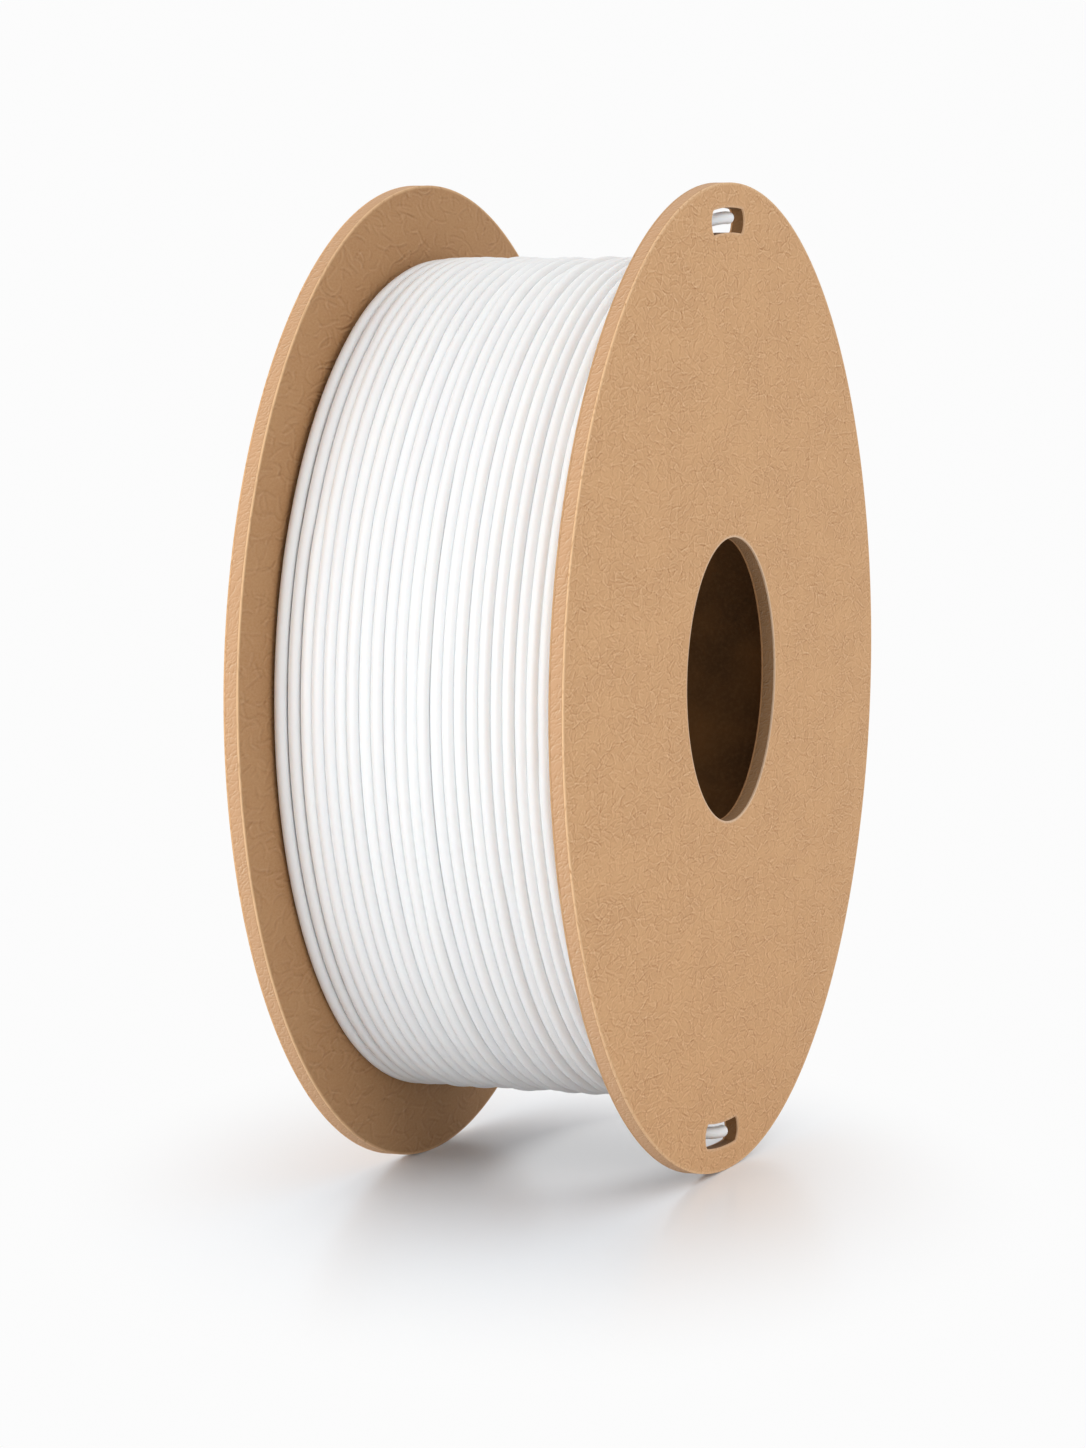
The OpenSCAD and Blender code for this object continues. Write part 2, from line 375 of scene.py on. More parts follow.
def fibreLayer(tree, place, look, number):
    # one curled fibre in each cell of a scattered grid, bent along a parabola y = bend * x * x; the cell's
    # random colour gives its turn, its bend and its half length
    shift = [number * step for step in look["layerShift"]]
    moved = addNode(tree, "ShaderNodeMapping", {"Vector": place, "Location": (*shift, 0)})
    cells = addNode(tree, "ShaderNodeTexVoronoi", {
        "Vector": (moved, 0), "Scale": perFeature(look["fibreCell"]), "Randomness": look["fibreScatter"],
    }, voronoi_dimensions="2D")
    away = addNode(tree, "ShaderNodeVectorMath", {
        0: (moved, 0), 1: (cells, "Position"),
    }, operation="SUBTRACT")
    chance = addNode(tree, "ShaderNodeSeparateColor", {0: (cells, "Color")})
    shortest, longest = look["fibreHalf"]
    turn, bend, half = (
        addNode(tree, "ShaderNodeMapRange", {"Value": (chance, channel), "To Min": least, "To Max": most})
        for channel, (least, most) in enumerate((
            look["fibreTurn"],
            (-look["fibreBend"] / mm, look["fibreBend"] / mm),
            (shortest * mm, longest * mm),
        ))
    )
    turned = addNode(tree, "ShaderNodeVectorRotate", {
        "Vector": (away, 0), "Angle": (turn, 0),
    }, rotation_type="Z_AXIS")
    local = addNode(tree, "ShaderNodeSeparateXYZ", {0: (turned, 0)})
    bow = addNode(tree, "ShaderNodeMath", {0: (local, 0), 1: 2.0}, operation="POWER")
    bow = addNode(tree, "ShaderNodeMath", {0: (bow, 0), 1: (bend, 0)}, operation="MULTIPLY")
    across = addNode(tree, "ShaderNodeMath", {0: (local, 1), 1: (bow, 0)}, operation="SUBTRACT")
    # a ridge, and the furrow that it leaves along one side, painted as highlight and shade as well as bumped
    lines = []
    for beside in (0, look["furrowBeside"]):
        distance = addNode(tree, "ShaderNodeMath", {
            0: (across, 0), 1: beside * look["fibreWidth"] * mm,
        }, operation="SUBTRACT")
        distance = addNode(tree, "ShaderNodeMath", {0: (distance, 0)}, operation="ABSOLUTE")
        lines.append(addNode(tree, "ShaderNodeMapRange", {
            "Value": (distance, 0), "From Max": look["fibreWidth"] * mm, "To Min": 1.0, "To Max": 0.0,
        }, interpolation_type="SMOOTHSTEP"))
    line = addNode(tree, "ShaderNodeMath", {0: (lines[0], 0), 1: (lines[1], 0)}, operation="SUBTRACT")
    along = addNode(tree, "ShaderNodeMath", {0: (local, 0)}, operation="ABSOLUTE")
    along = addNode(tree, "ShaderNodeMath", {0: (along, 0), 1: (half, 0)}, operation="DIVIDE")
    ends = addNode(tree, "ShaderNodeMapRange", {
        "Value": (along, 0), "From Min": look["fibreTaper"], "From Max": 1.0, "To Min": 1.0, "To Max": 0.0,
    }, interpolation_type="SMOOTHSTEP")
    return addNode(tree, "ShaderNodeMath", {0: (line, 0), 1: (ends, 0)}, operation="MULTIPLY")


def kraftMaterial(name, look):
    # kraft paper, calendered and unglazed: matt brown, clouded, with short curled fibres pressed into it
    material, tree = newMaterial(name)
    place = addNode(tree, "ShaderNodeUVMap", uv_map="sheet")
    grain = addNode(tree, "ShaderNodeMapping", {"Vector": (place, 0), "Scale": look["grainScale"]})
    clouds, tooth = (
        addNode(tree, "ShaderNodeTexNoise", {
            "Vector": (grain, 0), "Scale": perFeature(size), "Detail": detail, "Roughness": 0.6,
        }, noise_dimensions="2D")
        for size, detail in ((look["cloudSize"], 4.0), (look["toothSize"], 3.0))
    )
    relief = fibreLayer(tree, (grain, 0), look, 0)
    for number in range(1, look["fibreLayers"]):
        layer = fibreLayer(tree, (grain, 0), look, number)
        relief = addNode(tree, "ShaderNodeMath", {0: (relief, 0), 1: (layer, 0)}, operation="ADD")
    # the fibres stand out in some patches and lie flatter in others
    patches = addNode(tree, "ShaderNodeMapRange", {
        "Value": (clouds, "Fac"), "From Min": look["patchShare"][0], "From Max": look["patchShare"][1],
        "To Min": look["patchStrength"][0], "To Max": look["patchStrength"][1],
    })
    relief = addNode(tree, "ShaderNodeMath", {0: (relief, 0), 1: (patches, 0)}, operation="MULTIPLY")
    if look["crease"]:
        # one long ridge at a place on the sheet, where the paper buckled as it was pressed on; its tint is a
        # painted highlight
        x, low, high, width = look["crease"]
        spot = addNode(tree, "ShaderNodeMapping", {
            "Vector": (place, 0), "Location": (x, (low + high) / 2, 0),
            "Scale": (width, (high - low) / 2, 1),
        }, vector_type="TEXTURE")
        away = addNode(tree, "ShaderNodeVectorMath", {0: (spot, 0)}, operation="LENGTH")
        crease = addNode(tree, "ShaderNodeMapRange", {
            "Value": (away, "Value"), "To Min": 1.0, "To Max": 0.0,
        }, interpolation_type="SMOOTHSTEP")
        relief = addNode(tree, "ShaderNodeMath", {0: (relief, 0), 1: (crease, 0)}, operation="ADD")
    colour = mottledColour(tree, look, clouds, tooth)
    # the rim's cut edge is paler than the face, and a facing's on its board's +Y side paler still by a
    # painted highlight
    # a hole's edge has a painted highlight in the outer facing, and painted shade in the inner facing and the
    # board
    rimEdge = addNode(tree, "ShaderNodeAttribute", attribute_name="rimEdge")
    holeShadingAndGlueLine = addNode(tree, "ShaderNodeAttribute", attribute_name="holeShadingAndGlueLine")
    # each fibre's ridge gets a painted highlight and its furrow painted shade
    for source, strength, shade in (
        ((rimEdge, "Fac"), look["edgeTint"], look["rimEdge"]),
        ((relief, 0), look["fibreTint"], look["fibreHighlight"]),
        ((relief, 0), -look["fibreTint"], look["furrowShade"]),
        ((holeShadingAndGlueLine, "Fac"), look["edgeTint"], look["holeShadingAndGlueLine"]),
    ):
        tint = addNode(tree, "ShaderNodeMath", {0: source, 1: strength}, operation="MULTIPLY", use_clamp=True)
        colour = addNode(tree, "ShaderNodeMix", {
            0: (tint, 0), 6: (colour, 2), 7: linearColour(shade),
        }, data_type="RGBA")
    height = addNode(tree, "ShaderNodeMath", {
        0: (tooth, "Fac"), 1: look["toothHeight"],
    }, operation="MULTIPLY")
    height = addNode(tree, "ShaderNodeMath", {0: (relief, 0), 1: (height, 0)}, operation="ADD")
    bump = addNode(tree, "ShaderNodeBump", {
        "Height": (height, 0), "Strength": 1.0, "Distance": look["fibreHeight"] * mm,
    })
    least, most = look["roughnessShare"]
    roughness = addNode(tree, "ShaderNodeMapRange", {
        "Value": (clouds, "Fac"), "From Min": least, "From Max": most,
        "To Min": look["roughness"] - look["roughnessDrift"],
        "To Max": look["roughness"] + look["roughnessDrift"],
    })
    shader = addNode(tree, "ShaderNodeBsdfPrincipled", {
        "Base Color": (colour, 2), "Roughness": (roughness, 0), "IOR": look["ior"],
        "Specular IOR Level": look["specular"], "Normal": (bump, 0),
    })
    addNode(tree, "ShaderNodeOutputMaterial", {"Surface": (shader, 0)})
    return material


flange = {
    "edgeRound": 0.1 * mm,       # rounding of a facing's cut edge
    "boardEdgeRound": 0.05 * mm,
    "boardSetBack": 0.01 * mm,   # the board's edge lies this far behind the facings' edges
    "collar": 0.5 * mm,          # width of the band on a face over which an edge's colour fades
    "backShade": 0.3,            # share of the rim colour on a facing on its board's -Y side; on the +Y side the full colour is partly a painted highlight
    "jointShade": 0.15,          # how dark the glue line is between a board and the facing beside it
    "boreShade": 0.68,           # share of the painted hole shading on the bore's edge
    "facingSlotShading": 0.25,        # and on a slot's edge in a facing; in a board a slot has all of it
    "roundSteps": 4,
    "rimPoints": 720,
    "borePoints": 360,
    "layerMapStep": 7,           # metres on the map between layers, and between sides, so that all differ
    "sideMapStep": 30,
}

slots = {
    "rimRadius": 100 * mm,       # they are set out from the full round rim
    "rimGap": 5 * mm,
    "width": 5 * mm,
    "length": 21.3 * mm,
    "endBow": 1.4 * mm,
    "upperAngle": 90 - 2.1,
    "lowerAngle": -90 + 3.5,
    "arcPoints": 400,
    "pointSpacing": 0.15 * mm,
    "cornerPasses": 7,
}


def circleOutline(radius, count):
    # evenly spaced points x + iz round the axis
    return radius * np.exp(2j * np.pi * np.arange(count) / count)


def slotOutline(middleAngle):
    # two arcs concentric with the rim, joined by arcs that bow out at both ends, as points x + iz
    outer = slots["rimRadius"] - slots["rimGap"]
    inner = outer - slots["width"]
    middle = (outer + inner) / 2
    endRadius = ((slots["width"] / 2) ** 2 + slots["endBow"] ** 2) / (2 * slots["endBow"])
    endTurn = slots["length"] / 2 / middle - endRadius / middle
    centre = middle * np.exp(1j * endTurn)

    def cornerTurn(radius):
        # angle at which the end's circle meets a concentric arc, by the law of cosines
        return endTurn + np.arccos((radius ** 2 + middle ** 2 - endRadius ** 2) / (2 * radius * middle))

    fine = np.linspace(0, 1, slots["arcPoints"])
    corners = (outer * np.exp(1j * cornerTurn(outer)), inner * np.exp(1j * cornerTurn(inner)))
    startAngle, stopAngle = (np.angle(corner - centre) for corner in corners)
    endArc = centre + endRadius * np.exp(1j * (startAngle + (stopAngle - startAngle) * fine))
    outerArc = outer * np.exp(1j * cornerTurn(outer) * (2 * fine - 1))
    innerArc = inner * np.exp(1j * cornerTurn(inner) * (1 - 2 * fine))
    loop = np.concatenate([outerArc[:-1], endArc[:-1], innerArc[:-1], np.conj(endArc[::-1])])
    # even spacing, then a running average that rounds the corners as a worn die does
    walked = np.concatenate([[0], np.cumsum(np.abs(np.diff(loop)))])
    count = int(walked[-1] / slots["pointSpacing"])
    loop = np.interp(np.arange(count) * walked[-1] / count, walked, loop)
    for _ in range(slots["cornerPasses"]):
        loop = (np.roll(loop, 1) + 2 * loop + np.roll(loop, -1)) / 4
    return loop * np.exp(1j * np.radians(middleAngle))


def sheetSurface(outlines, low, high, edgeRound, setBack, mapShift, shades, jointShade):
    # each outline carries a profile with rounded corners, and both faces are filled between the profiles'
    # ends; the outlines are the rim, the bore and the slots, and the shades are for their edges
    arc = np.linspace(0, np.pi / 2, flange["roundSteps"] + 1)
    inset = np.concatenate([[edgeRound + flange["collar"]], edgeRound * (1 - np.sin(arc))]) + setBack
    drop = np.concatenate([[0], edgeRound * (1 - np.cos(arc))])
    inset = np.concatenate([inset, inset[::-1]])[:, None]
    height = np.concatenate([high - drop, low + drop[::-1]])[:, None]
    edgeValue = np.concatenate([[0], np.ones(2 * len(arc)), [0]])[:, None]
    jointValue = np.concatenate([np.full(len(arc), jointShade), np.zeros(len(arc) + 2)])[:, None]
    walkedDown = np.concatenate([[0], np.cumsum(np.hypot(np.diff(inset[:, 0]), np.diff(height[:, 0])))])
    points, quads, places, rimEdge, holeShadingAndGlueLine, topRings, bottomRings = [], [], [], [], [], [], []
    start = 0
    for number, outline in enumerate(outlines):
        tangent = np.roll(outline, -1) - np.roll(outline, 1)
        outward = -1j * tangent / np.abs(tangent)
        ring = outline[None, :] - outward[None, :] * inset
        points.append(np.stack(np.broadcast_arrays(ring.real, height, ring.imag), -1).reshape(-1, 3))
        quads.append(start + gridFaces(*ring.shape))
        # the rim's glue line has the holes' colour
        edge = edgeValue * shades[number]
        rimEdge.append(np.broadcast_to(edge * (number == 0), ring.shape).ravel())
        holeShadingAndGlueLine.append(np.broadcast_to(edge if number else jointValue, ring.shape).ravel())
        # on its own map, an edge is unrolled: its length along the outline against the way down its profile
        walked = np.concatenate([[0], np.cumsum(np.abs(np.diff(np.append(outline, outline[0]))))])
        across = np.stack([walked[:-1], walked[1:], walked[1:], walked[:-1]], -1)[None, :]
        down = np.stack([walkedDown[:-1], walkedDown[:-1], walkedDown[1:], walkedDown[1:]], -1)[:, None]
        places.append(np.stack(np.broadcast_arrays(across, down), -1).reshape(-1, 4, 2) + mapShift + number)
        topRings.append(start + np.arange(ring.shape[1]))
        bottomRings.append(start + ring.size - ring.shape[1] + np.arange(ring.shape[1]))
        start += ring.size
    points = np.concatenate(points)
    flat = np.insert(points[:, (0, 2)], 2, 0, axis=1)
    triangles = np.array(tessellate_polygon([flat[ring].tolist() for ring in topRings]))
    top, bottom = np.concatenate(topRings)[triangles], np.concatenate(bottomRings)[triangles]
    corner = points[top]
    facing = np.cross(corner[:, 1] - corner[:, 0], corner[:, 2] - corner[:, 0])[:, 1]
    top[facing < 0] = top[facing < 0][:, ::-1]
    bottom[facing > 0] = bottom[facing > 0][:, ::-1]
    places += [points[fill][:, :, (0, 2)] + mapShift for fill in (top, bottom)]
    values = {"rimEdge": np.concatenate(rimEdge), "holeShadingAndGlueLine": np.concatenate(holeShadingAndGlueLine)}
    return points, np.concatenate(quads), (top, bottom), values, places


def addFlange(prefix, side, slotAngles, outerMaterial, innerMaterial, boardMaterial):
    # a board between two facings; side is +1 for the flange at +Y and -1 for the one at -Y
    outlines = [circleOutline(rimRadius, flange["rimPoints"])]
    outlines.append(circleOutline(boreRadius, flange["borePoints"])[::-1])
    outlines += [slotOutline(angle)[::-1] for angle in slotAngles]
    for number, (layer, near, far, material) in enumerate((
        ("outer_facing", boardHigh, outerFace, outerMaterial),
        ("board", boardLow, boardHigh, boardMaterial),
        ("inner_facing", innerFace, boardLow, innerMaterial),
    )):
        low, high = sorted((side * near, side * far))
        if layer == "board":
            edgeRound, setBack, slot = flange["boardEdgeRound"], flange["boardSetBack"], "kraft_board"
            rimShade, slotShade, jointShade = 1, 1, flange["jointShade"]
        else:
            edgeRound, setBack, slot = flange["edgeRound"], 0, "kraft_facing"
            # the rim's painted highlight is full only on a facing on its board's +Y side
            rimShade = flange["backShade"] if low < side * boardLow else 1
            slotShade, jointShade = flange["facingSlotShading"], 0
        mapShift = flange["layerMapStep"] * number + flange["sideMapStep"] * (side < 0)
        shades = (rimShade, flange["boreShade"], slotShade, slotShade)
        points, quads, fills, values, places = sheetSurface(
            outlines, low, high, edgeRound, setBack, mapShift, shades, jointShade)
        makePiece(f"{prefix}_{layer}_sheet", points, [quads], material, [f"{prefix}_{layer}"],
                  flatFaces=fills, pointValues=values, places=places)


tube = {
    "columns": 240,
    "rows": 32,
    "seamWidth": 0.5 * mm,
    "seamDepth": 0.18 * mm,
    "seamColumns": 8,
    "seamClear": 1.5,            # the other columns keep this many half widths off the seam's middle
    "seamLean": 1 / (70 * mm),   # radians round the tube for each metre along it
    "seamStart": 300,
}
tubeBoardLook = {
    "deep": "#7A5C3F",
    "pale": "#8C6C4C",
    "cloudSize": 12,             # in millimetres, as the pulp's size and height are
    "cloudShare": (0.3, 0.7),
    "speck": "#9C7C5A",
    "speckShare": (0.45, 0.75),
    "speckTint": 0.4,
    "pulpSize": 0.5,
    "pulpHeight": 0.08,
    "seam": "#4E3926",
    "roughness": 0.85,
    "ior": 1.47,
    "specular": 0.25,
}
# the kraft ply is painted dark brown as the shade inside the tube, where it shows through the bore
tubePlyLookShaded = dict(
    tubeBoardLook, deep="#50351A", pale="#754F27", cloudSize=17, speck="#80603C", pulpSize=0.8,
    seam="#2E2012",
)


def tubeMaterial(name, look):
    # spirally wound core board: brown pulp, clouded and matt, with the plies' butt seam a dark line
    material, tree = newMaterial(name)
    place = addNode(tree, "ShaderNodeTexCoord")
    pulp = addNode(tree, "ShaderNodeTexNoise", {
        "Vector": (place, "Object"), "Scale": perFeature(look["pulpSize"]), "Detail": 5.0, "Roughness": 0.65,
    })
    clouds = addNode(tree, "ShaderNodeTexNoise", {
        "Vector": (place, "Object"), "Scale": perFeature(look["cloudSize"]), "Detail": 3.0,
    })
    seam = addNode(tree, "ShaderNodeAttribute", attribute_name="seam")
    colour = addNode(tree, "ShaderNodeMix", {
        0: (seam, "Fac"), 6: (mottledColour(tree, look, clouds, pulp), 2), 7: linearColour(look["seam"]),
    }, data_type="RGBA")
    bump = addNode(tree, "ShaderNodeBump", {
        "Height": (pulp, "Fac"), "Strength": 0.8, "Distance": look["pulpHeight"] * mm,
    })
    shader = addNode(tree, "ShaderNodeBsdfPrincipled", {
        "Base Color": (colour, 2), "Roughness": look["roughness"], "IOR": look["ior"],
        "Specular IOR Level": look["specular"], "Normal": (bump, 0),
    })
    addNode(tree, "ShaderNodeOutputMaterial", {"Surface": (shader, 0)})
    return material


def addTubeLayer(name, innerRadius, outerRadius, material, seamSide):
    # columns lean along the spiral of the ply, so that its butt seam, a groove with a squared cosine for its
    # profile, runs along the first ones
    spread = np.linspace(0, 2 * np.pi, tube["columns"], endpoint=False)
    halfSeam = tube["seamWidth"] / 2 / innerRadius
    clear = tube["seamClear"] * halfSeam
    seamTurn = np.linspace(-halfSeam, halfSeam, tube["seamColumns"] + 1)
    spread = np.concatenate([seamTurn, spread[(spread > clear) & (spread < 2 * np.pi - clear)]])
    groove = np.cos(np.clip(spread / halfSeam, -1, 1) * np.pi / 2) ** 2
    groove = np.where(np.abs(spread) < halfSeam, groove, 0)
    along = np.linspace(-innerFace, innerFace, tube["rows"] + 1)
    along = np.concatenate([along, along[::-1]])[:, None]
    outside = (np.arange(len(along)) > tube["rows"])[:, None]
    radius = np.where(outside, outerRadius, innerRadius)
    depth = tube["seamDepth"] * groove[None, :]
    inner, outer = (~outside) & (seamSide == "inner"), outside & (seamSide == "outer")
    radius = radius + depth * inner - depth * outer
    turn = np.degrees(spread[None, :] + tube["seamLean"] * along) + tube["seamStart"]
    seam = groove[None, :] * (inner | outer)
    rows, columns = radius.shape
    makePiece(f"{name}_wound", onSpool(turn, radius, along), [gridFaces(rows, columns, closedRows=True)],
              material, [name], pointValues={"seam": seam})


glue = {
    "leg": 2.4 * mm,
    "unevenness": 0.28,
    "roundness": 1.3,            # of the profile's cosine and sine: 1 is a round bead and 2 a flat chamfer
    "columns": 300,
    "profilePoints": 10,
    "lumpsRound": 46,
    "deep": "#BFA878",
    "pale": "#DCCBA2",
    "cloudSize": 3,
    "cloudShare": (0, 1),
    "cloudHeight": 0.2,
    "roughness": 0.32,
    "ior": 1.49,
}


def glueMaterial():
    # hot-melt glue (EVA), extruded and left to set: waxy amber, soft gloss, slightly cloudy
    material, tree = newMaterial("hotMeltGlue")
    place = addNode(tree, "ShaderNodeTexCoord")
    clouds = addNode(tree, "ShaderNodeTexNoise", {
        "Vector": (place, "Object"), "Scale": perFeature(glue["cloudSize"]), "Detail": 3.0,
    })
    bump = addNode(tree, "ShaderNodeBump", {
        "Height": (clouds, "Fac"), "Strength": 0.5, "Distance": glue["cloudHeight"] * mm,
    })
    shader = addNode(tree, "ShaderNodeBsdfPrincipled", {
        "Base Color": (mottledColour(tree, glue, clouds), 2), "Roughness": glue["roughness"],
        "IOR": glue["ior"], "Normal": (bump, 0),
    })
    addNode(tree, "ShaderNodeOutputMaterial", {"Surface": (shader, 0)})
    return material


def addGlueBead(name, side, material, seed):
    # a bead in the corner inside tube and flange, its profile between a quarter round and a chamfer, and its
    # leg swelling and thinning round the tube
    angle = np.linspace(0, 360, glue["columns"], endpoint=False)
    steps = angle / 360 * glue["lumpsRound"]
    lumps = wanderingValue(steps, seed) * smoothStep(np.minimum(steps, glue["lumpsRound"] - steps))
    leg = glue["leg"] * (1 - glue["unevenness"] * (0.5 + 0.5 * lumps))
    sweep = np.linspace(0, np.pi / 2, glue["profilePoints"])[:, None]
    corner = tubeOuterRadius - 2 * plyThickness - tubeBodyThickness
    inwards = leg * np.cos(sweep) ** glue["roundness"]
    outwards = leg * np.sin(sweep) ** glue["roundness"]
    radius = np.concatenate([corner - inwards, np.full((1, len(angle)), corner)])
    along = innerFace - np.concatenate([outwards, np.zeros((1, len(angle)))])
    faces = gridFaces(*radius.shape, closedRows=True)
    if side > 0:
        faces = faces[:, ::-1]
    points = onSpool(angle, radius, side * along)
    makePiece(f"{name}_run", points, [faces], material, [name])


filament = {
    "strandRadius": 1.275 * mm,
    "woundRadius": 85.2 * mm,
    "turns": 23.5,
    "leaveAngle": 55,
    "firstTurn": -29.5 * mm,
    "lastTurn": 27.2 * mm,
    "ringsPerTurn": 216,
    "sides": 16,
    "capSteps": 6,
    "deep": "#F0F1F2",
    "pale": "#F4F5F5",
    "cloudSize": 140,            # millimetres of strand over which its tone and gloss wander
    "cloudShare": (0.35, 0.65),
    "roughness": (0.34, 0.46),
    "ior": 1.46,
    "glow": 0.3,                 # share of the light that goes into the plastic, and how deep it goes
    "glowColours": (1.0, 0.8, 0.7),
    "glowDepth": 1.6 * mm,
}
filament["layerRadius"] = filament["woundRadius"] - filament["strandRadius"]
filament["pitch"] = (filament["lastTurn"] - filament["firstTurn"]) / filament["turns"]
filament["riseAngle"] = filament["leaveAngle"] - 360 * filament["turns"]


def filamentMaterial():
    # PLA filament, extruded and drawn: white, faintly cloudy, with the soft gloss of a smooth die
    material, tree = newMaterial("whitePlaStrand")
    along = addNode(tree, "ShaderNodeAttribute", attribute_name="along")
    # the bath cools it unevenly, so tone and gloss wander over some decimetres of strand
    wander = addNode(tree, "ShaderNodeTexNoise", {
        "W": (along, "Fac"), "Scale": perFeature(filament["cloudSize"]), "Detail": 3.0,
    }, noise_dimensions="1D")
    roughness = addNode(tree, "ShaderNodeMapRange", {
        "Value": (wander, "Fac"), "To Min": filament["roughness"][0], "To Max": filament["roughness"][1],
    })
    shader = addNode(tree, "ShaderNodeBsdfPrincipled", {
        "Base Color": (mottledColour(tree, filament, wander), 2),
        "Roughness": (roughness, 0), "IOR": filament["ior"],
        "Subsurface Weight": filament["glow"], "Subsurface Radius": filament["glowColours"],
        "Subsurface Scale": filament["glowDepth"],
    })
    addNode(tree, "ShaderNodeOutputMaterial", {"Surface": (shader, 0)})
    return material


def addStrand(name, path, material, sides, replaced):
    # a circle square to the path at each of its points, and a half ball of shrinking circles at both ends
    radius = filament["strandRadius"]
    cap = np.linspace(0, np.pi / 2, filament["capSteps"] + 1)[1:-1]
    first, last = path[1] - path[0], path[-1] - path[-2]
    first, last = first / np.linalg.norm(first), last / np.linalg.norm(last)
    reach = radius * np.sin(cap)[:, None]
    line = np.concatenate([path[0] - first * reach[::-1], path, path[-1] + last * reach])
    radii = np.concatenate([radius * np.cos(cap)[::-1], np.full(len(path), radius), radius * np.cos(cap)])
    tangent = np.gradient(line, axis=0)
    tangent /= np.linalg.norm(tangent, axis=1)[:, None]
    inward = np.cross(tangent, spoolAxis)
    inward /= np.linalg.norm(inward, axis=1)[:, None]
    sideways = np.cross(tangent, inward)
    turn = np.linspace(0, 2 * np.pi, sides, endpoint=False)[None, :, None]
    circle = np.cos(turn) * inward[:, None] + np.sin(turn) * sideways[:, None]
    rings = line[:, None] + radii[:, None, None] * circle
    walked = np.concatenate([[0], np.cumsum(np.linalg.norm(np.diff(line, axis=0), axis=1))])
    rows = len(line)
    poles = np.stack([path[0] - first * radius, path[-1] + last * radius])
    points = np.concatenate([rings.reshape(-1, 3), poles])
    side = np.arange(sides)
    nextSide = (side + 1) % sides
    lastRow = (rows - 1) * sides
    startFan = np.stack([nextSide, side, np.full(sides, rows * sides)], -1)
    endFan = np.stack([lastRow + side, lastRow + nextSide, np.full(sides, rows * sides + 1)], -1)
    faces = [gridFaces(rows, sides), startFan, endFan]
    values = np.concatenate([np.repeat(walked, sides), [0, walked[-1]]])
    makePiece(name, points, faces, material, replaced, pointValues={"along": values})


drift = {
    "height": 0.32 * mm,         # how far turns lie higher or lower than they should
    "heightStretches": 4.3,      # random stretches in a turn
    "side": 0.06 * mm,
    "sideStretches": 3.3,
    "sideStart": 0.4,
    "shared": 0.1 * mm,          # how far neighbours go to one side together, in waves
    "sharedWaves": ((2, 5.3 * mm), (3, -3.1 * mm)),    # how many in a turn, and axis length for each radian
    "settleTurns": (0.5, 0.25),  # over which it comes and goes at a layer's start and end
    "outerLayerSeed": 11,
    "layerBelowSeed": 31,
}


def windingDrift(angle, along, seed):
    # how far the turns wander: a share of their own, and one that neighbours have in common
    turns = angle / 360
    own = wanderingValue(turns * drift["heightStretches"], seed)
    ownSide = wanderingValue(turns * drift["sideStretches"] + drift["sideStart"], seed + 1)
    common = sum(np.sin(waves * np.radians(angle) + along / way) for waves, way in drift["sharedWaves"])
    lift = drift["height"] * own
    shift = drift["side"] * ownSide + drift["shared"] / 2 * common
    return lift, shift


# stretches, in degrees, where the turn at a place on the axis sinks and its neighbours close in over it
sunkTurns = (
    {"from": 30, "to": 78, "along": -5.2 * mm},
    {"from": 27, "to": 66, "along": -0.7 * mm},
    {"from": 23.5, "to": 58, "along": -9.0 * mm},
    {"from": -34, "to": 9, "along": -3.2 * mm},
    {"from": 70, "to": 104, "along": 5.6 * mm},
    {"from": -75, "to": -20, "along": 14.5 * mm},
    {"from": 118, "to": 171, "along": -16.0 * mm},
    {"from": 190, "to": 236, "along": 9.0 * mm},
    {"from": 205, "to": 262, "along": -7.0 * mm},
    {"from": 19, "to": 60, "along": -23.7 * mm},
    {"from": -12, "to": 36, "along": 24.4 * mm},
)
sinking = {
    "depth": 0.42 * mm,
    "closing": 0.15 * mm,        # how far each neighbour moves in; the ones beyond move less, by the fade
    "fade": 0.5,
    "diveTurn": 7,               # degrees over which it goes down, and over which it comes up
}


def sunkDrift(angle):
    # whole turns away from a sunk one are counted along the strand, so that a turn keeps its rank all round
    walked = (angle - filament["riseAngle"]) / 360
    lift, shift = np.zeros_like(angle), np.zeros_like(angle)
    for stretch in sunkTurns:
        past = (angle - stretch["from"]) % 360
        length = stretch["to"] - stretch["from"]
        started = ((stretch["from"] - filament["riseAngle"]) / 360) % 1
        rank = np.rint((stretch["along"] - filament["firstTurn"]) / filament["pitch"] - started)
        beside = np.rint(walked - past / 360 - started - rank)
        inside = smoothStep(past / sinking["diveTurn"]) * smoothStep((length - past) / sinking["diveTurn"])
        lift -= sinking["depth"] * inside * (beside == 0)
        shift -= sinking["closing"] * inside * np.sign(beside) * sinking["fade"] ** (np.abs(beside) - 1)
    return lift, shift


# over some degrees after the strand rises, and again a turn later, it lies nearer to the plain flange
firstTurns = {
    "from": 40,
    "to": 215,
    "shifts": (-0.54 * mm, -0.27 * mm),
    "easeTurn": 30,
}


def firstTurnsShift(angle):
    # each turn's own shift within the stretch, eased at both ends of it
    past = angle - filament["riseAngle"] - firstTurns["from"]
    length = firstTurns["to"] - firstTurns["from"]
    number = np.clip(past // 360, 0, len(firstTurns["shifts"])).astype(int)
    started, left = past % 360, length - past % 360
    inside = smoothStep(started / firstTurns["easeTurn"]) * smoothStep(left / firstTurns["easeTurn"])
    return np.append(firstTurns["shifts"], 0)[number] * inside


layerBelow = {
    "ringsPerTurn": 110,
    "sides": 10,
    "wholeTurns": 23,
    "startClearTurn": 4,
    "climbTurn": 14,             # degrees over which the strand climbs from one layer to the next
}


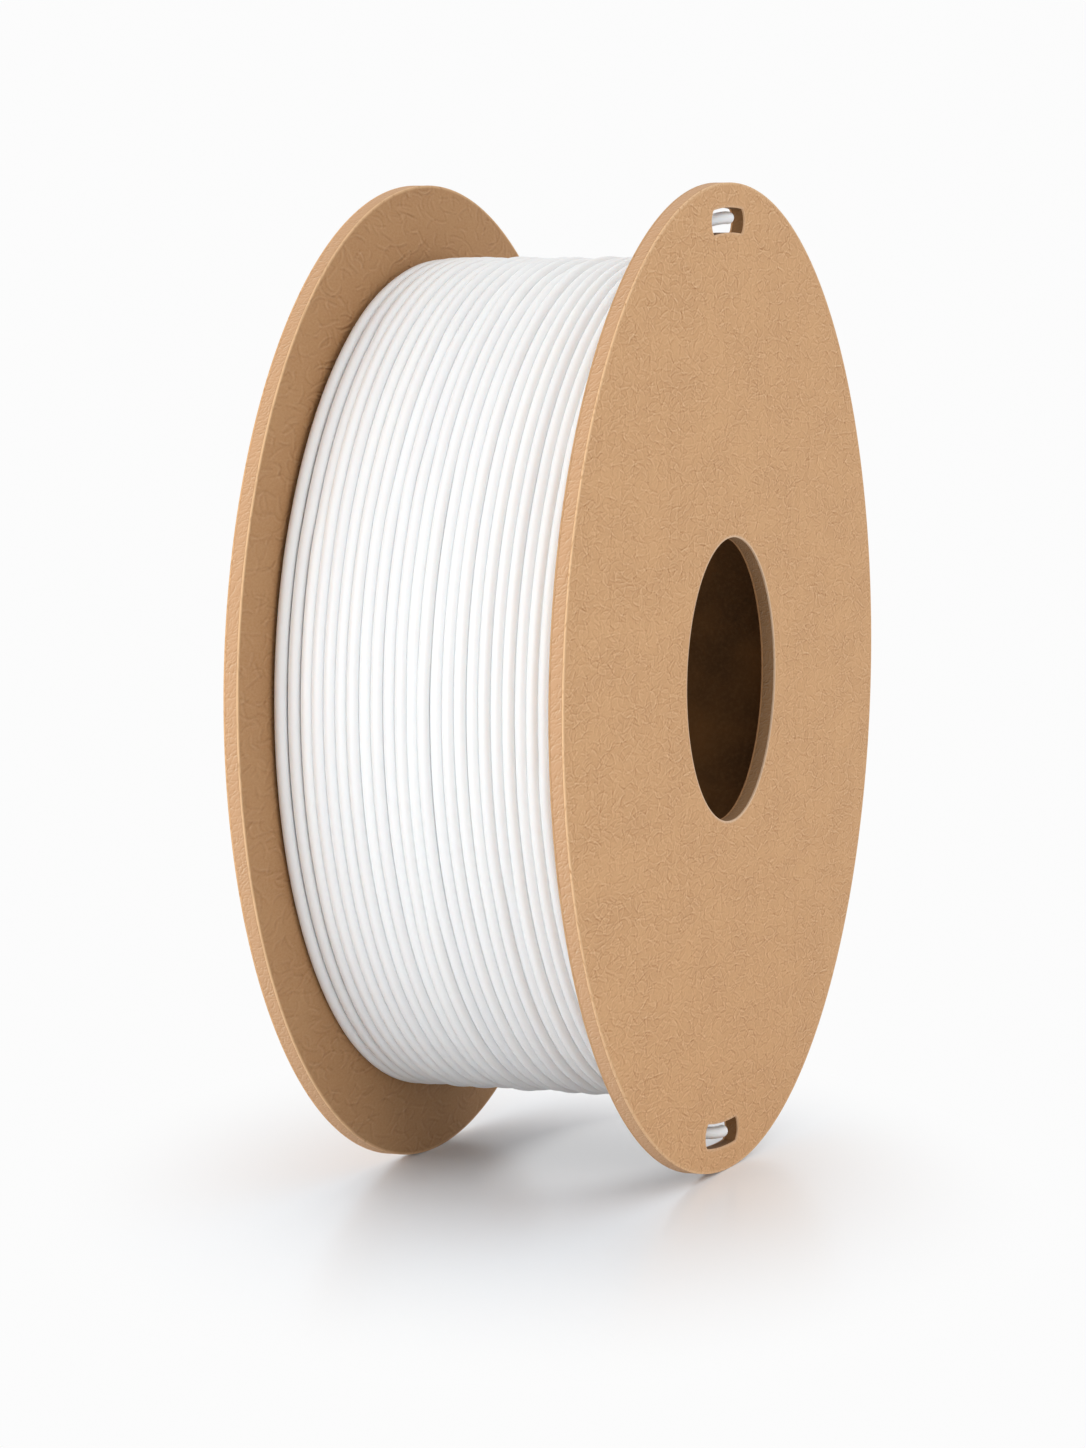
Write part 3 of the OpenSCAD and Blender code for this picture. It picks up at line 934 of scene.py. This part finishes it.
def outerLayerPath():
    # a helix from the plain flange to the slotted one, at an angle that grows with the place along the axis
    count = int(filament["turns"] * filament["ringsPerTurn"])
    share = np.linspace(0, 1, count)
    angle = filament["riseAngle"] + 360 * filament["turns"] * share
    along = filament["firstTurn"] + (filament["lastTurn"] - filament["firstTurn"]) * share
    lift, shift = windingDrift(angle, along, drift["outerLayerSeed"])
    sunkLift, sunkShift = sunkDrift(angle)
    comes, goes = drift["settleTurns"]
    begun, left = share * filament["turns"], (1 - share) * filament["turns"]
    settle = smoothStep(begun / comes) * smoothStep(left / goes)
    climb = smoothStep(begun * 360 / layerBelow["climbTurn"])
    radius = filament["layerRadius"] + (lift + sunkLift) * settle
    radius = radius - (1 - climb) * 2 * filament["strandRadius"]
    return onSpool(angle, radius, along + (shift + sunkShift) * settle + firstTurnsShift(angle))


freeEnd = {
    "climbTurn": 25,             # degrees over which it climbs, and over which it goes through the slot
    "weaveTurn": 9,
    "slotReach": 92.0 * mm,      # its radius in the slot
    "tipReach": 93.0 * mm,
    "tipAngle": 90.95,
    "besideFlange": 29.5 * mm,
    "tipAlong": 32.2 * mm,
    "rings": 80,
}


def freeEndPath():
    # it climbs from the last turn while it crosses to the flange, then slants through the slot's thickness
    share = np.linspace(0, 1, freeEnd["rings"] + 1)[1:]
    angle = filament["leaveAngle"] + (freeEnd["tipAngle"] - filament["leaveAngle"]) * share
    climb = smoothStep((angle - filament["leaveAngle"]) / freeEnd["climbTurn"])
    weave = smoothStep((angle - freeEnd["tipAngle"] + freeEnd["weaveTurn"]) / freeEnd["weaveTurn"])
    radius = filament["layerRadius"] + (freeEnd["slotReach"] - filament["layerRadius"]) * climb
    radius = radius + (freeEnd["tipReach"] - freeEnd["slotReach"]) * weave
    along = filament["lastTurn"] + (freeEnd["besideFlange"] - filament["lastTurn"]) * climb
    along = along + (freeEnd["tipAlong"] - freeEnd["besideFlange"]) * weave
    return onSpool(angle, radius, along)


startEnd = {
    "angle": -69.71,
    "tubeGap": 0.1 * mm,
    "bendRadius": 12.5 * mm,
    "slotReach": 91.7 * mm,
    "tipReach": 92.5 * mm,
    "tipAngle": -89.7,
    "weaveTurn": 9,
    "tipAlong": 32.2 * mm,
    "riseRings": 30,
    "bendRings": 25,
    "slotRings": 90,
}


def startEndPath():
    # out along the flange from the tube, round a quarter bend, and through the lower slot
    reach, bend = startEnd["slotReach"], startEnd["bendRadius"]
    low = tubeOuterRadius + startEnd["tubeGap"] + filament["strandRadius"]
    rise = np.linspace(low, reach - bend, startEnd["riseRings"], endpoint=False)
    sweep = np.linspace(0, np.pi / 2, startEnd["bendRings"], endpoint=False)
    bendEnd = startEnd["angle"] - np.degrees(bend / reach)
    run = np.linspace(0, 1, startEnd["slotRings"])
    angle = np.concatenate([
        np.full(len(rise), startEnd["angle"]),
        startEnd["angle"] - np.degrees(bend * (1 - np.cos(sweep)) / reach),
        bendEnd + (startEnd["tipAngle"] - bendEnd) * run,
    ])
    weave = smoothStep((startEnd["tipAngle"] + startEnd["weaveTurn"] - angle) / startEnd["weaveTurn"])
    radius = np.concatenate([rise, reach - bend * (1 - np.sin(sweep)), np.full(len(run), reach)])
    radius = radius + (startEnd["tipReach"] - reach) * weave
    along = freeEnd["besideFlange"] + (startEnd["tipAlong"] - freeEnd["besideFlange"]) * weave
    return onSpool(angle, radius, along)


def layerBelowPath():
    # the same strand one layer deeper, winding back from the slotted flange to the plain one
    startAngle = startEnd["angle"] + layerBelow["startClearTurn"]
    turns = (filament["riseAngle"] - startAngle) / 360 % 1 + layerBelow["wholeTurns"]
    count = int(turns * layerBelow["ringsPerTurn"])
    share = np.linspace(0, 1, count)
    angle = filament["riseAngle"] - 360 * turns * (1 - share)
    along = freeEnd["besideFlange"] + (filament["firstTurn"] - freeEnd["besideFlange"]) * share
    deeper = 2 * filament["strandRadius"]
    climb = smoothStep(share * turns * 360 / layerBelow["climbTurn"])
    radius = filament["layerRadius"] - deeper - (1 - climb) * deeper
    lift, shift = windingDrift(angle, along, drift["layerBelowSeed"])
    comes = drift["settleTurns"][0]
    settle = smoothStep(share * turns / comes) * smoothStep((1 - share) * turns / comes)
    return onSpool(angle, radius - np.abs(lift) * settle, along + shift * settle)


pack = {
    "columns": 200,
    "ridgePoints": 6,
    "grooveHalfWidth": 2.1 * mm,
    "grooveDepth": 2.6 * mm,
    "grooveEase": 1.6,           # how much steeper its sides are than an eased curve across its half width
    "grooveTurn": 4,
    "grooveColumns": 25,
}


def addPack(material):
    # the layers further down: a body whose two sides are the half rounds of each layer's last turn
    strand = filament["strandRadius"]
    top = filament["layerRadius"] - 4 * strand
    layers = int((top - tubeOuterRadius) / (2 * strand))
    centres = top - strand - 2 * strand * np.arange(layers)
    bulge = np.linspace(-np.pi / 2, np.pi / 2, pack["ridgePoints"], endpoint=False)
    radius = np.append(centres[:, None] - strand * np.sin(bulge)[None, :], centres[-1] - strand)
    outwards = freeEnd["besideFlange"] + strand * np.append(np.tile(np.cos(bulge), layers), 0)
    radius = np.concatenate([radius[::-1], radius])
    along = np.concatenate([-outwards[::-1], outwards])
    grooveTurn = np.linspace(-pack["grooveTurn"], pack["grooveTurn"], pack["grooveColumns"])
    rest = np.linspace(pack["grooveTurn"], 360 - pack["grooveTurn"], pack["columns"])[1:-1]
    angle = startEnd["angle"] + np.concatenate([grooveTurn, rest])
    # the start of the filament runs out to its slot in a groove in one side
    past = np.radians(angle - startEnd["angle"])
    away = radius[:, None] * np.sin(past)[None, :]
    ahead = np.cos(past)[None, :] > 0
    groove = smoothStep(pack["grooveEase"] * (1 - np.abs(away) / pack["grooveHalfWidth"]))
    groove = groove * ahead * (along > 0)[:, None]
    along = along[:, None] - pack["grooveDepth"] * groove
    points = onSpool(angle[None, :], np.broadcast_to(radius[:, None], along.shape), along)
    faces = gridFaces(*along.shape, closedRows=True)[:, ::-1]
    makePiece("filament_deeper_layers", points, [faces], material, ["filament_inner_layers"],
              pointValues={"along": np.repeat(radius, len(angle))})


print("camera, light and floor")
bpy.context.scene.view_settings.view_transform = "Standard"
addCamera()
addLight()
addFloor()

print("flanges")
outerPaper = kraftMaterial("kraftPaperOuterFacing", kraftFace)
innerPaperShaded = kraftMaterial("kraftPaperInnerFacingShaded", kraftInnerFaceShaded)
cutBoard = kraftMaterial("dieCutBoardEdge", boardEdge)
addFlange("slotted_flange", 1, (slots["upperAngle"], slots["lowerAngle"]), outerPaper, innerPaperShaded, cutBoard)
addFlange("plain_flange", -1, (), outerPaper, innerPaperShaded, cutBoard)

print("core tube and glue")
tubeBoard = tubeMaterial("spiralWoundCoreBoard", tubeBoardLook)
tubePlyShaded = tubeMaterial("spiralWoundKraftPlyShaded", tubePlyLookShaded)
tubeBodyInner = tubePlyJoint - tubeBodyThickness
addTubeLayer("core_tube_outer_ply", tubePlyJoint, tubeOuterRadius, tubePlyShaded, "outer")
addTubeLayer("core_tube_body", tubeBodyInner, tubePlyJoint, tubeBoard, "none")
addTubeLayer("core_tube_inner_ply", tubeBodyInner - plyThickness, tubeBodyInner, tubePlyShaded, "inner")
setGlue = glueMaterial()
addGlueBead("slotted_flange_glue_bead", 1, setGlue, seed=5)
addGlueBead("plain_flange_glue_bead", -1, setGlue, seed=6)

print("filament")
plaStrand = filamentMaterial()
outerPath = np.concatenate([outerLayerPath(), freeEndPath()])
addStrand("filament_outer_layer_strand", outerPath, plaStrand, filament["sides"], ["filament_outer_layer"])
addStrand("filament_layer_below", layerBelowPath(), plaStrand, layerBelow["sides"], ["filament_inner_layers"])
addStrand("filament_start_strand", startEndPath(), plaStrand, filament["sides"], ["filament_start_end"])
addPack(plaStrand)
